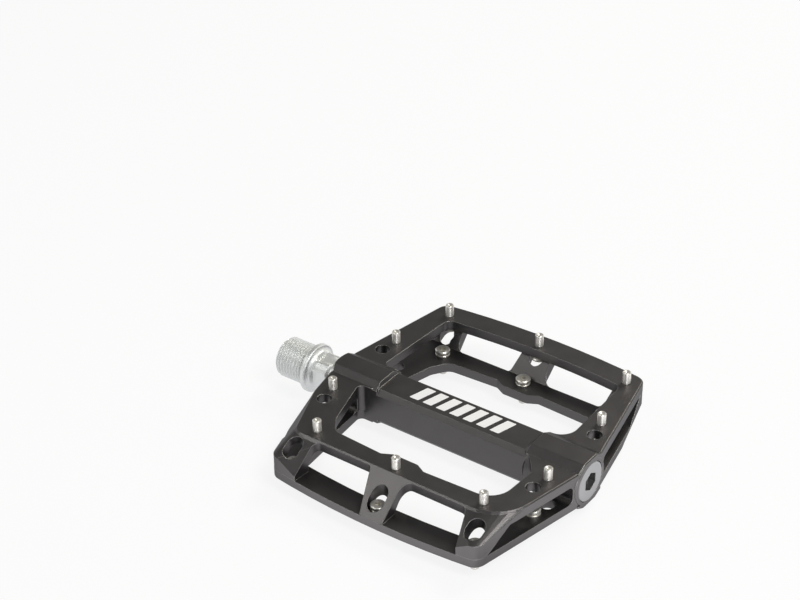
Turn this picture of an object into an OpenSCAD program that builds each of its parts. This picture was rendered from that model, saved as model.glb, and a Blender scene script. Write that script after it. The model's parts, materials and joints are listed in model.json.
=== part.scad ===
/* [Platform outline] */
// Length of the platform along the spindle, at the hub
platform_l = 99; // [97:0.2:104]
// Distance from the crank seat on the flange to the inboard end of the platform
platform_x0 = 12.1; // [11.8:0.1:14]
// Thickness of the platform
platform_t = 13.9; // [13.5:0.1:15]
// Spindle axis to the outer side edge, at its furthest
outer_reach = 52.8; // [51.6:0.1:54]
// Spindle axis to the inner side edge
inner_reach = 40.3; // [40:0.1:41]
// How far the outer side edge bows outwards between its corners
side_bow = 4.1; // [3:0.1:5]
// How far the end edges run in towards the outer corners at the inboard end
corner_in = 8.6; // [7.6:0.1:9.4]
// How far the end edges run in towards the outer corners at the outboard end
corner_out = 9.8; // [9:0.1:11]
// How far the inner corner is cut back at the inboard end
inner_corner_in = 10.4; // [9.5:0.1:11]
// Radius of the outer corners
outer_corner_r = 4.4; // [3:0.2:6]
// Height of the upright band at the outer corners
corner_band_h = 8.7; // [7.5:0.1:9.5]
// Middle of the platform to where the corner posts start to stand proud of the sloping sides
corner_post_reach = 27.5; // [25:0.5:29]
// Radius of the inner corner at the outboard end
inner_corner_r = 15; // [12:0.5:16]
// Chamfer round the edges of the treads
edge_chamfer = 0.5; // [0.3:0.1:0.7]

/* [Rails, flanges and posts] */
// Thickness of each rail and end flange
rail_t = 3.5; // [3.2:0.1:3.7]
// Width of the outer side rails
outer_rail_w = 8.8; // [8.4:0.1:9.4]
// Width of the inner side rails
inner_rail_w = 6.5; // [6.4:0.1:7.2]
// Width of the boss that carries the middle pin of an inner rail
rail_boss_w = 12; // [10:0.5:14]
// How far that boss stands in from the rail
rail_boss_h = 1.9; // [1.5:0.1:2.4]
// Width of the end flange at the inboard end
inboard_flange_w = 12.4; // [12:0.1:13]
// Width of the end flange at the outboard end
outboard_flange_w = 13; // [12.4:0.1:13.4]
// How much wider an inboard flange is where it meets an inner rail
flange_flare = 5.5; // [4:0.1:6.5]
// Distance from the outer side edge to the inner face of a side wall, at its foot
wall_w = 6.8; // [6.4:0.1:7.2]
// Middle of the platform to the inboard edge of the middle post, at the outer side edge
post_in = 3.3; // [3.2:0.1:4]
// Middle of the platform to the outboard edge of the middle post
post_out = 5.6; // [5.2:0.1:6.5]
// How much further inboard the middle post reaches where it meets the upper rail
post_spread = 4.3; // [3:0.1:5]
// Middle of the platform to the inboard end of the inboard side window, at the rail above
window_in = 29.9; // [29:0.1:30.5]
// Middle of the platform to the outboard end of the outboard side window, at the rail above
window_out = 29.6; // [29:0.1:30.5]
// How much longer the outboard side window is at the outer side edge
window_spread = 3.6; // [2:0.1:4]
// Corner radius of the side windows
side_window_r = 2.5; // [2:0.1:3.5]
// Distance from the spindle axis to the inner end of an end slot
slot_root = 9.1; // [9:0.1:9.2]
// Distance from the outer side edge to the outer end of an end slot, at its foot
slot_wall_w = 6.2; // [5.8:0.1:6.6]
// Corner radius of the big windows at the outer rail
outer_window_r = 3; // [2:0.2:4]
// Corner radius of the big windows at the inner rail
inner_window_r = 8; // [6:0.5:9]
// Corner radius of the outer big windows at the outboard end of the hub
hub_corner_r = 6; // [4:0.5:7]

/* [Hub] */
// Width of the hub beam
hub_w = 14; // [13.6:0.1:14.6]
// Height of the chamfer on the edges of the hub beam
hub_chamfer_h = 1.9; // [1.2:0.1:2.1]
// Width of the chamfer on the edges of the hub beam
hub_chamfer_w = 1.55; // [1:0.05:1.8]
// Height of the inboard block's flat above the spindle axis
block_h = 8.5; // [8.3:0.1:9]
// Length of the inboard block
block_l = 20.6; // [19:0.2:23]
// Width of the flat on top of the inboard block
block_flat_w = 7.4; // [6.6:0.2:9]
// Radius of the inboard block's rounded nose, seen from above
nose_r = 12; // [11:0.5:16]
// Radius of the outboard bearing hump
hump_r = 8.65; // [8.5:0.05:9.2]
// Length of the outboard bearing hump
hump_l = 20; // [19:0.2:22]

/* [Traction pins] */
// Diameter of a pin
pin_d = 3; // [2.8:0.05:3.1]
// Height of a pin above the tread
pin_h = 4.3; // [4:0.1:6]
// Diameter of a pin's head
pin_head_d = 5.2; // [4.8:0.05:5.3]
// Height of a pin's head
pin_head_h = 2.3; // [2:0.1:2.5]
// Across-flats size of the hex socket in a pin's head
pin_hex_af = 2; // [1.5:0.5:2.5]
// Depth of that hex socket
pin_hex_depth = 1.6; // [1:0.1:2]
// Distance from an end edge to its pins
end_pin_inset = 5.4; // [5.2:0.1:5.8]
// Distance from the outer side edge to its pins
outer_pin_inset = 5.8; // [5.6:0.1:6.2]
// Distance from the inner side edge to its middle pin
inner_pin_inset = 3.2; // [2.8:0.1:3.4]
// How much further in the other pins of that side stand
inner_pin_step = 1.4; // [1:0.1:1.6]
// Diameter of the key holes in the end flanges
key_hole_d = 5.1; // [4.9:0.1:5.4]
// Width of the key slots in the posts
key_slot_w = 5.9; // [5.6:0.1:6.2]
// How far a key slot runs on inwards, from its pin
key_run_in = 0.7; // [0.4:0.1:1]
// How far a key slot runs on outwards, from its pin
key_run_out = 0.9; // [0.4:0.1:1.2]

/* [Spindle] */
// Major diameter of the crank thread (9/16 inch, 20 threads per inch)
thread_d = 14.29; // [14.1:0.01:14.4]
// Length of the crank thread
thread_l = 12.5; // [11:0.1:15]
// Diameter of the flange that seats on the crank
flange_d = 17.5; // [17.2:0.1:18.4]
// Thickness of that flange
flange_t = 2; // [1.6:0.1:2.4]
// Diameter of the wrench section
wrench_d = 17; // [16.4:0.1:17.2]
// Width across the wrench flats
wrench_af = 15; // [14.8:0.1:15.2]
// Distance from the crank seat to the end of the wrench section
wrench_x1 = 9.4; // [8.6:0.1:9.6]
// Across-flats size of the hex socket in the crank end
spindle_hex_af = 6; // [5:0.5:8]
// Depth of that hex socket
spindle_hex_depth = 8; // [6:0.5:10]
// Diameter of the seal journal
seal_journal_d = 11.6; // [11.4:0.1:11.8]
// Diameter of the bush journal
bush_journal_d = 10; // [9.8:0.1:10.1]
// Diameter of the shank at the outboard bearings
shank_d = 9; // [8.9:0.1:9.4]
// Length of the shank's taper
taper_l = 30; // [20:1:40]
// Diameter of the bearing journal
bearing_journal_d = 8; // [7.9:0.1:8.1]
// Diameter of the nut thread
nut_thread_d = 7; // [6.6:0.1:7.2]

/* [Seal, bush, bearings and end cap] */
// Outer diameter of the inboard seal
seal_od = 14; // [13.8:0.1:14.2]
// Width of the inboard seal
seal_w = 2; // [1.8:0.1:2.4]
// Wall of the inboard bush
bush_wall = 1; // [0.9:0.05:1.1]
// Length of the inboard bush
bush_l = 13; // [11:0.5:14]
// Outer diameter of a cartridge bearing
bearing_od = 14; // [13.9:0.1:14.1]
// Width of a cartridge bearing
bearing_w = 4; // [3.8:0.1:4.2]
// Radial thickness of a bearing race
race_t = 0.9; // [0.85:0.05:0.95]
// Diameter of a ball
ball_d = 1.6; // [1.5:0.05:1.65]
// Balls in one bearing
ball_count = 11; // [9:1:12]
// Thickness of a bearing shield
shield_t = 0.3; // [0.2:0.05:0.35]
// Thickness of the lock washer
washer_t = 0.8; // [0.6:0.1:1]
// Across-flats size of the lock nut
nut_af = 10; // [9.5:0.1:10.4]
// Height of the lock nut
nut_h = 4; // [3.6:0.1:4.2]
// Diameter of the end cap
cap_d = 14.4; // [14.3:0.05:14.6]
// Thickness of the end cap
cap_t = 4; // [3.8:0.1:4.2]
// Across-flats size of the end cap's hex socket
cap_hex_af = 6; // [5:0.5:6]
// Section diameter of the end cap's O-ring
o_ring_d = 1; // [0.9:0.05:1.1]

/* [Hidden] */
$fn = 96;

// The pedal looks the same after half a turn about the spindle, so each cut
// is written once, for the top face, and made again upside down.
TURNS = [0, 180];
seat_fit = 0.02;          // radial gap of a piece fixed in its bore or on its shaft
running_fit = 0.05;       // radial gap of a journal that turns in a bush or seal
race_fit = 0.1;           // gap between balls, cage pockets and races
end_play = 0.3;           // gap between flat faces that turn past each other
through = 20;             // overrun of a cut past the far side of what it cuts

half_t = platform_t / 2;
slot_z = half_t - rail_t;
hub_y = hub_w / 2;
platform_x1 = platform_x0 + platform_l;
mid_x = platform_x0 + platform_l / 2;
side_crest_x = mid_x + 2;
inner_y = inner_reach - inner_rail_w;

window_x0 = platform_x0 + inboard_flange_w;
window_x1 = platform_x1 - outboard_flange_w;

seal_x0 = platform_x0 + 0.1;
bush_x0 = seal_x0 + seal_w + 0.2;
bush_x1 = bush_x0 + bush_l;
bush_od = bush_journal_d + 2 * running_fit + 2 * bush_wall;
hump_x0 = platform_x1 + 0.4 - hump_l;
hump_x1 = hump_x0 + hump_l;
cap_x0 = hump_x1 - cap_t;
bearing_x0 = hump_x0 + 2;
bearing_x1 = bearing_x0 + bearing_w;
washer_x0 = bearing_x1 + bearing_w;
nut_x0 = washer_x0 + washer_t;
spindle_x1 = nut_x0 + nut_h + 0.4;
hub_bore_r = bush_journal_d / 2 + end_play;

ball_pitch_r = (bearing_od + bearing_journal_d) / 4;

// ---------------------------------------------------------------- outlines

// Unit vector along v.
function unit(v) = v / norm(v);

// v turned by a degrees.
function turned_by(v, a) = [v.x * cos(a) - v.y * sin(a), v.x * sin(a) + v.y * cos(a)];

// The points of one outline corner [x, y, radius] between its neighbours.
function corner_points(before, here, after) =
    let (
        p = [here.x, here.y],
        a = unit([before.x, before.y] - p),
        b = unit([after.x, after.y] - p),
        half = acos(max(-1, min(1, a * b))) / 2,
        r = here[2],
        centre = p + unit(a + b) * r / sin(half),
        start = p + a * r / tan(half) - centre,
        sweep = (a.x * b.y - a.y * b.x > 0 ? -1 : 1) * (180 - 2 * half),
        steps = max(1, ceil((180 - 2 * half) / 11))
    )
    r == 0 ? [p] : [for (i = [0:steps]) centre + turned_by(start, sweep * i / steps)];

// An outline of [x, y, radius] corners with its round stretches filled in.
function rounded(corners) =
    let (n = len(corners))
    [
        for (i = [0:n - 1])
            each corner_points(corners[(i + n - 1) % n], corners[i], corners[(i + 1) % n])
    ];

// How far along the run from the hub to the outer side a distance y lies.
function span_share(y) = (abs(y) - hub_y) / (outer_reach - hub_y);

// Where the straight end edges are at a distance y from the spindle axis.
function inboard_edge(y) = platform_x0 + corner_in * span_share(y);
function outboard_edge(y) = platform_x1 - corner_out * span_share(y);

// The outer side edge.
function side_edge(x) = outer_reach - side_bow * pow((x - side_crest_x) / (platform_l / 2), 2);

outer_corner_x0 = inboard_edge(side_edge(inboard_edge(outer_reach)));
outer_corner_x1 = outboard_edge(side_edge(outboard_edge(outer_reach)));

// A straight list of steps from a to b, ends left out.
function between(a, b, steps) = [for (i = [1:steps - 1]) a + (b - a) * i / steps];

// The run of outline corners round the outer side.
outer_run = [
    [platform_x0, hub_y, 0],
    [outer_corner_x0, side_edge(outer_corner_x0), outer_corner_r],
    for (x = between(outer_corner_x0, outer_corner_x1, 9)) [x, side_edge(x), 0],
    [outer_corner_x1, side_edge(outer_corner_x1), outer_corner_r],
    [platform_x1, hub_y, 0],
];

// Outline of a tread: outer side at +y, inner side at -y.
module tread_outline() {
    bend_y = -19;
    bend_r = 12;
    polygon(rounded([
        each outer_run,
        [platform_x1, -hub_y, 0],
        [outboard_edge(inner_reach), -inner_reach, inner_corner_r],
        [platform_x0 + inner_corner_in, -inner_reach, 4],
        [inboard_edge(bend_y), bend_y, bend_r],
        [platform_x0, -hub_y, 0],
    ]));
}

// Opening in a tread between the hub and its inner rail.
module inner_window() {
    boss_x = [mid_x - rail_boss_w / 2, mid_x + rail_boss_w / 2];
    boss_run = 2.4;
    rail_bow = 1.1;
    wedge_w = 5.6;
    polygon(rounded([
        [window_x0, -hub_y, 2],
        [window_x1 - wedge_w, -hub_y, 1],
        [window_x1, -2 * hub_y, 2],
        [window_x1 - 1, rail_bow - inner_y, inner_window_r],
        [boss_x[1] + boss_run, -inner_y, 1],
        [boss_x[1] - boss_run / 2, rail_boss_h - inner_y, 1],
        [boss_x[0] + boss_run / 2, rail_boss_h - inner_y, 1],
        [boss_x[0] - boss_run, -inner_y, 1],
        [window_x0 + flange_flare + inner_window_r / 2, rail_bow - inner_y, inner_window_r / 2],
        [window_x0 + flange_flare, -inner_y * 0.8, inner_window_r / 2],
    ]));
}

// Opening in a tread between the hub and its outer rail.
module outer_window() {
    x0 = window_x0 + 2.5;
    x1 = window_x1 - 1;
    polygon(rounded([
        [window_x0, hub_y, 2],
        [x0, side_edge(x0) - outer_rail_w, outer_window_r],
        for (x = between(x0, x1, 7)) [x, side_edge(x) - outer_rail_w, 0],
        [x1, side_edge(x1) - outer_rail_w, outer_window_r],
        [window_x1, hub_y, hub_corner_r],
    ]));
}

// ---------------------------------------------------------------- platform

// The top tread as a plain plate.
module tread_plate() {
    translate([0, 0, slot_z]) {
        linear_extrude(height = rail_t - edge_chamfer)
            tread_outline();
        linear_extrude(height = rail_t)
            offset(delta = -edge_chamfer)
                tread_outline();
    }
}

// The post between outer corner i of the top tread, where an upright band
// stands, and the corner of the other tread under it, over a stretch of x. It
// starts a hair inside the treads, so that no face of it lies in one of theirs.
module corner_post(i, x0, x1) {
    inset = 0.05;
    plate_h = rail_t - edge_chamfer - inset;
    hull() {
        translate([0, 0, half_t - corner_band_h])
            linear_extrude(height = corner_band_h - rail_t + plate_h)
                offset(delta = -inset)
                    polygon(corner_points(outer_run[i - 1], outer_run[i], outer_run[i + 1]));
        intersection() {
            for (turn = TURNS)
                rotate([turn, 0, 0])
                    translate([0, 0, slot_z])
                        linear_extrude(height = plate_h)
                            offset(delta = -inset)
                                tread_outline();
            translate([x0, inner_y / 2, -through])
                cube([x1 - x0, outer_reach, 2 * through]);
        }
    }
}

// The solid that the platform is milled from: two treads, each the other
// turned upside down, joined by the sloping sides between their edges, with
// fuller posts at the outer corners.
module blank() {
    hull()
        for (turn = TURNS)
            rotate([turn, 0, 0])
                tread_plate();
    for (turn = TURNS)
        rotate([turn, 0, 0]) {
            corner_post(1, platform_x0 - through, mid_x - corner_post_reach);
            corner_post(len(outer_run) - 2, mid_x + corner_post_reach, platform_x1 + through);
        }
}

// The openings in the top tread.
module tread_windows() {
    translate([0, 0, slot_z - 0.5])
        linear_extrude(height = through) {
            inner_window();
            outer_window();
        }
}

// Cuts the children off at the inner face of a side wall, which slopes from
// top_y under the rail above to foot_y on the rail below.
module inside_wall(top_y, foot_y) {
    intersection() {
        rotate([90, 0, 90])
            translate([0, 0, -through])
                linear_extrude(height = platform_x1 + 2 * through)
                    polygon([
                        [0, -slot_z],
                        [0, slot_z],
                        [-top_y, slot_z],
                        [-foot_y, -slot_z],
                    ]);
        translate([0, 0, -slot_z])
            linear_extrude(height = 2 * slot_z)
                children();
    }
}

// The space between the treads inside a side wall.
module side_cavity() {
    x0 = window_x0 + 3;
    x1 = window_x1 + 1.4;
    corner_r = 4;
    inside_wall(inner_reach, outer_reach - wall_w) {
        inner_window();
        polygon(rounded([
            [window_x0 + 1, -hub_y, 2],
            [x0, wall_w - side_edge(x0), corner_r],
            for (x = between(x0, x1, 7)) [x, wall_w - side_edge(x), 0],
            [x1, wall_w - side_edge(x1), corner_r],
            [x1, -inner_y, 1],
            [window_x1, -hub_y, hub_corner_r],
        ]));
    }
}

// The slots between the treads that leave through both ends.
module end_slots() {
    root_r = 2;
    inboard_x1 = window_x0 + 3.4;
    outboard_x0 = window_x1 - 1;
    // [inboard side, inner face of the side wall under the tread, and at its foot]
    ends = [
        [inboard_x1 - through, inner_reach + 0.7, outer_reach - slot_wall_w],
        [outboard_x0, inner_reach - 3.8, outer_reach - slot_wall_w - 0.6],
    ];
    for (end = ends)
        intersection() {
            inside_wall(end[1], end[2])
                translate([end[0], -outer_reach])
                    square([through, outer_reach - slot_root]);
            rotate([90, 0, 90])
                linear_extrude(height = platform_x1 + through)
                    polygon(rounded([
                        [-outer_reach, -slot_z, 0],
                        [-slot_root, -slot_z, root_r],
                        [-slot_root, slot_z, root_r],
                        [-outer_reach, slot_z, 0],
                    ]));
        }
}

// The openings in a sloping side wall, one each side of its middle post. Seen
// from above, each runs from the rail out past the outer side edge.
module side_windows() {
    overrun = 1.1;                               // share of the way to the outer side edge
    far_y = -inner_reach - overrun * (outer_reach - inner_reach);
    translate([mid_x, 0, -slot_z])
        linear_extrude(height = through) {
            polygon(rounded([
                [-window_in - overrun, far_y, 0],
                [-window_in, -inner_reach, side_window_r],
                [-post_in - post_spread, -inner_reach, side_window_r / 2],
                [-post_in - post_spread + overrun * post_spread, far_y, 0],
            ]));
            polygon(rounded([
                [post_out, far_y, 0],
                [post_out, -inner_reach, side_window_r + 1],
                [window_out, -inner_reach, side_window_r],
                [window_out + overrun * window_spread, far_y, 0],
            ]));
        }
}

// Slots for a hex key, down through the posts to the heads of the lower outer pins.
module key_slots() {
    for (p = outer_pins)
        translate([p.x, -p.y, -slot_z]) {
            for (y = [-key_run_out, key_run_in])
                translate([0, y, 0])
                    cylinder(d = key_slot_w, h = through);
            translate([-key_slot_w / 2, -key_run_out, 0])
                cube([key_slot_w, key_run_out + key_run_in, through]);
        }
}

// Holes through the upper flanges above the heads of the lower end pins.
module key_holes() {
    for (p = end_pins)
        translate([p.x, -p.y, 0])
            cylinder(d = key_hole_d, h = through);
}

// Chamfers along the upper edges of the hub beam.
module hub_chamfers() {
    x0 = platform_x0 + block_l - 3;
    for (side = [-1, 1])
        translate([x0, 0, 0])
            rotate([90, 0, 90])
                linear_extrude(height = hump_x0 - x0)
                    polygon([
                        [side * (hub_y - hub_chamfer_w), half_t],
                        [side * hub_y, half_t - hub_chamfer_h],
                        [side * (hub_y + 0.4), half_t - hub_chamfer_h],
                        [side * (hub_y + 0.4), half_t + 1],
                        [side * (hub_y - hub_chamfer_w), half_t + 1],
                    ]);
}

// The raised block round the seal and bush, chamfered along its sides.
module inboard_block() {
    nose_x = platform_x0 - 0.9;
    block_x1 = nose_x + block_l;
    intersection() {
        rotate([90, 0, 90])
            linear_extrude(height = platform_x1)
                polygon([
                    for (turn = [1, -1])
                        each [
                            [-turn * hub_y, turn * (half_t - 0.4)],
                            [-turn * block_flat_w / 2, turn * block_h],
                            [turn * block_flat_w / 2, turn * block_h],
                            [turn * hub_y, turn * (half_t - 0.4)],
                        ],
                ]);
        rotate([90, 0, 0])
            translate([0, 0, -through])
                linear_extrude(height = 2 * through)
                    polygon([
                        [nose_x, -block_h],
                        [block_x1 - 0.8, -block_h],
                        [block_x1, 0.6 - half_t],
                        [block_x1, half_t - 0.6],
                        [block_x1 - 0.8, block_h],
                        [nose_x, block_h],
                    ]);
        translate([nose_x + nose_r, 0, -through])
            linear_extrude(height = 2 * through) {
                circle(r = nose_r);
                translate([0, -nose_r])
                    square([block_l, 2 * nose_r]);
            }
    }
}

// The round hump that houses the bearings and the end cap.
module outboard_hump() {
    turned([
        [0, hump_x0 - 2],
        [half_t - 0.3, hump_x0 - 2],
        [hump_r, hump_x0],
        [hump_r, hump_x1 - 0.4],
        [hump_r - 0.4, hump_x1],
        [0, hump_x1],
    ]);
}

// A profile of [radius, distance along the spindle] points, turned about it.
module turned(profile) {
    rotate([0, 90, 0])
        rotate_extrude()
            polygon(profile);
}

// A plain ring round the spindle axis.
module ring(x0, x1, r0, r1) {
    turned([[r0, x0], [r1, x0], [r1, x1], [r0, x1]]);
}

// The stepped bore for the seal, bush, shank, bearings and end cap.
module hub_bore() {
    steps = [
        [seal_od / 2 + seat_fit, -through, bush_x0 - 0.1],
        [bush_od / 2 + seat_fit, seal_x0, bush_x1],
        [hub_bore_r, bush_x0, hump_x1],
        [bearing_od / 2 + seat_fit, bearing_x0, hump_x1],
        [cap_d / 2 + seat_fit, cap_x0, hump_x1 + through],
    ];
    for (s = steps)
        translate([s[1], 0, 0])
            rotate([0, 90, 0])
                cylinder(r = s[0], h = s[2] - s[1]);
}

module platform_body() {
    color([0.13, 0.13, 0.14])
        difference() {
            union() {
                difference() {
                    blank();
                    for (turn = TURNS)
                        rotate([turn, 0, 0]) {
                            tread_windows();
                            side_cavity();
                            end_slots();
                            side_windows();
                            key_slots();
                            key_holes();
                            hub_chamfers();
                        }
                }
                inboard_block();
                outboard_hump();
            }
            hub_bore();
            for (turn = TURNS)
                rotate([turn, 0, 0])
                    for (p = all_pins)
                        translate([p.x, p.y, 0])
                            cylinder(d = pin_d + 2 * seat_fit, h = through);
        }
}

// ------------------------------------------------------------ traction pins

end_pin_y = [-14, 20.4];
end_pins = [
    for (y = end_pin_y)
        each [
            [inboard_edge(y) + end_pin_inset, y],
            [outboard_edge(y) - end_pin_inset, y],
        ],
];
corner_pin_x = 35.9;
outer_pins = [
    for (x = [mid_x - corner_pin_x, mid_x, mid_x + corner_pin_x])
        [x, side_edge(x) - outer_pin_inset],
];
inner_pin_x = 32.7;
inner_pins = [
    for (side = [-1, 0, 1])
        [mid_x + side * inner_pin_x, inner_pin_inset + inner_pin_step * abs(side) - inner_reach],
];
all_pins = concat(end_pins, outer_pins, inner_pins);

// One pin, screwed in from inside, its head against the tread's inner face.
// The head has a waist, and a hex socket in its end.
module pin() {
    edge = 0.3;
    tip = 0.35;
    head_r = pin_head_d / 2;
    z0 = slot_z - pin_head_h;
    z1 = half_t + pin_h;
    difference() {
        rotate_extrude()
            polygon([
                [0, z0],
                [head_r - edge, z0],
                [head_r, z0 + edge],
                [head_r, z0 + pin_head_h / 2 - edge / 2],
                [head_r - edge, z0 + pin_head_h / 2],
                [head_r - edge, slot_z - pin_head_h / 4],
                [head_r, slot_z - pin_head_h / 4],
                [head_r, slot_z],
                [pin_d / 2, slot_z],
                [pin_d / 2, z1 - tip],
                [pin_d / 2 - tip, z1],
                [0, z1],
            ]);
        translate([0, 0, z0 - 1])
            cylinder(d = pin_hex_af / cos(30), h = 1 + pin_hex_depth, $fn = 6);
    }
}

module pins(turn) {
    color([0.86, 0.86, 0.84])
        rotate([turn, 0, 0])
            for (p = all_pins)
                translate([p.x, p.y, 0])
                    pin();
}

module top_pins() {
    pins(0);
}

module bottom_pins() {
    pins(180);
}

// ------------------------------------------------------------ seal and bush

module inboard_seal() {
    lip = 0.5;
    r0 = seal_journal_d / 2 + running_fit;
    r1 = seal_od / 2;
    color([0.09, 0.09, 0.09])
        turned([
            [r0, seal_x0 + lip],
            [r0 + lip, seal_x0],
            [r1, seal_x0],
            [r1, seal_x0 + seal_w],
            [r0, seal_x0 + seal_w],
        ]);
}

module inboard_bush() {
    color([0.62, 0.5, 0.3])
        ring(bush_x0, bush_x1, bush_od / 2 - bush_wall, bush_od / 2);
}

// ----------------------------------------------------------------- bearings

module race(r0, r1) {
    color([0.75, 0.76, 0.78])
        difference() {
            ring(-bearing_w / 2, bearing_w / 2, r0, r1);
            rotate([0, 90, 0])
                rotate_extrude()
                    translate([ball_pitch_r, 0])
                        circle(r = ball_d / 2 + race_fit);
        }
}

module outer_race() {
    race(bearing_od / 2 - race_t, bearing_od / 2);
}

module inner_race() {
    race(bearing_journal_d / 2 + seat_fit, bearing_journal_d / 2 + race_t);
}

module shields() {
    outside = bearing_w / 2 - 0.1;
    r0 = bearing_journal_d / 2 + race_t + 0.15;
    r1 = bearing_od / 2 - race_t - seat_fit;
    color([0.55, 0.56, 0.58]) {
        ring(-outside, shield_t - outside, r0, r1);
        ring(outside - shield_t, outside, r0, r1);
    }
}

// Places a child at every ball of a bearing.
module at_balls() {
    for (i = [0:ball_count - 1])
        rotate([360 * i / ball_count, 0, 0])
            translate([0, 0, ball_pitch_r])
                children();
}

module balls() {
    color([0.85, 0.86, 0.88])
        at_balls()
            sphere(d = ball_d, $fn = 32);
}

module cage() {
    half_w = bearing_w / 2 - 0.8;
    half_cage = 0.35;
    color([0.72, 0.6, 0.3])
        difference() {
            ring(-half_w, half_w, ball_pitch_r - half_cage, ball_pitch_r + half_cage);
            at_balls()
                translate([0, 0, -1])
                    cylinder(r = ball_d / 2 + race_fit, h = 2);
        }
}

module at_inner_bearing() {
    translate([bearing_x0 + bearing_w / 2, 0, 0])
        children();
}

module at_outer_bearing() {
    translate([bearing_x1 + bearing_w / 2, 0, 0])
        children();
}

module inner_bearing_outer_race() {
    at_inner_bearing()
        outer_race();
}

module inner_bearing_inner_race() {
    at_inner_bearing()
        inner_race();
}

module inner_bearing_shields() {
    at_inner_bearing()
        shields();
}

module inner_bearing_balls() {
    at_inner_bearing()
        balls();
}

module inner_bearing_cage() {
    at_inner_bearing()
        cage();
}

module outer_bearing_outer_race() {
    at_outer_bearing()
        outer_race();
}

module outer_bearing_inner_race() {
    at_outer_bearing()
        inner_race();
}

module outer_bearing_shields() {
    at_outer_bearing()
        shields();
}

module outer_bearing_balls() {
    at_outer_bearing()
        balls();
}

module outer_bearing_cage() {
    at_outer_bearing()
        cage();
}

// ------------------------------------------------------------------ end cap

o_ring_r = cap_d / 2 - o_ring_d / 2;
o_ring_x = cap_x0 + 0.8 + o_ring_d / 2;

module end_cap() {
    color([0.16, 0.16, 0.17])
        difference() {
            turned([
                [0, cap_x0],
                [cap_d / 2, cap_x0],
                [cap_d / 2, hump_x1 - 0.4],
                [cap_d / 2 - 0.4, hump_x1],
                [0, hump_x1],
            ]);
            ring(
                o_ring_x - o_ring_d / 2 - 0.1,
                o_ring_x + o_ring_d / 2 + 0.1,
                o_ring_r - o_ring_d / 2 - seat_fit,
                cap_d / 2 + 1
            );
            translate([cap_x0 + 1, 0, 0])
                rotate([0, 90, 0])
                    cylinder(d = cap_hex_af / cos(30), h = through, $fn = 6);
        }
}

module end_cap_o_ring() {
    color([0.05, 0.05, 0.05])
        translate([o_ring_x, 0, 0])
            rotate([0, 90, 0])
                rotate_extrude()
                    translate([o_ring_r, 0])
                        circle(d = o_ring_d);
}

// ------------------------------------------------------------------ spindle

module spindle() {
    taper_x1 = bush_x1 + taper_l;
    color([0.8, 0.8, 0.79])
        difference() {
            turned([
                [0, -thread_l],
                [thread_d / 2 - 1.1, -thread_l],
                [thread_d / 2, 1.1 - thread_l],
                [thread_d / 2, 0],
                [flange_d / 2, 0],
                [flange_d / 2, flange_t],
                [wrench_d / 2, flange_t],
                [wrench_d / 2, wrench_x1 - 0.8],
                [wrench_d / 2 - 0.8, wrench_x1],
                [seal_journal_d / 2, wrench_x1],
                [seal_journal_d / 2, bush_x0 - end_play],
                [bush_journal_d / 2, bush_x0 - end_play],
                [bush_journal_d / 2, bush_x1 + 0.5],
                [shank_d / 2, taper_x1],
                [shank_d / 2, bearing_x0],
                [bearing_journal_d / 2, bearing_x0],
                [bearing_journal_d / 2, washer_x0],
                [nut_thread_d / 2, washer_x0],
                [nut_thread_d / 2, spindle_x1 - 0.4],
                [nut_thread_d / 2 - 0.4, spindle_x1],
                [0, spindle_x1],
            ]);
            for (side = [-1, 1])
                translate([flange_t, -wrench_d, side > 0 ? wrench_af / 2 : -wrench_d])
                    cube([wrench_x1, 2 * wrench_d, wrench_d - wrench_af / 2]);
            translate([-thread_l - 1, 0, 0])
                rotate([0, 90, 0])
                    cylinder(d = spindle_hex_af / cos(30), h = spindle_hex_depth + 1, $fn = 6);
        }
}

module lock_washer() {
    color([0.7, 0.71, 0.72])
        ring(washer_x0, nut_x0, nut_thread_d / 2 + seat_fit, bearing_journal_d / 2 + race_t);
}

module lock_nut() {
    color([0.74, 0.75, 0.76])
        translate([nut_x0, 0, 0])
            rotate([0, 90, 0])
                difference() {
                    cylinder(d = nut_af / cos(30), h = nut_h, $fn = 6);
                    translate([0, 0, -1])
                        cylinder(r = nut_thread_d / 2 + seat_fit, h = nut_h + 2);
                }
}

platform_body();
top_pins();
bottom_pins();
inboard_seal();
inboard_bush();
inner_bearing_outer_race();
inner_bearing_shields();
outer_bearing_outer_race();
outer_bearing_shields();
end_cap();
end_cap_o_ring();
inner_bearing_cage();
inner_bearing_balls();
outer_bearing_cage();
outer_bearing_balls();
spindle();
inner_bearing_inner_race();
outer_bearing_inner_race();
lock_washer();
lock_nut();
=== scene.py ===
"""A flat bicycle pedal: finishes, threads, traction pins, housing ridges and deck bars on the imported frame.

Every length in a class is in millimetres unless its name says otherwise. Meshes are made in metres, in the
frame's own axes: +X runs outboard along the spindle and +Z out of the top tread.
"""

import json
import logging
import math
from collections.abc import Sequence
from dataclasses import dataclass, field
from enum import Enum
from typing import Any

import bpy
import numpy as np
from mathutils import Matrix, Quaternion, Vector


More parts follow.
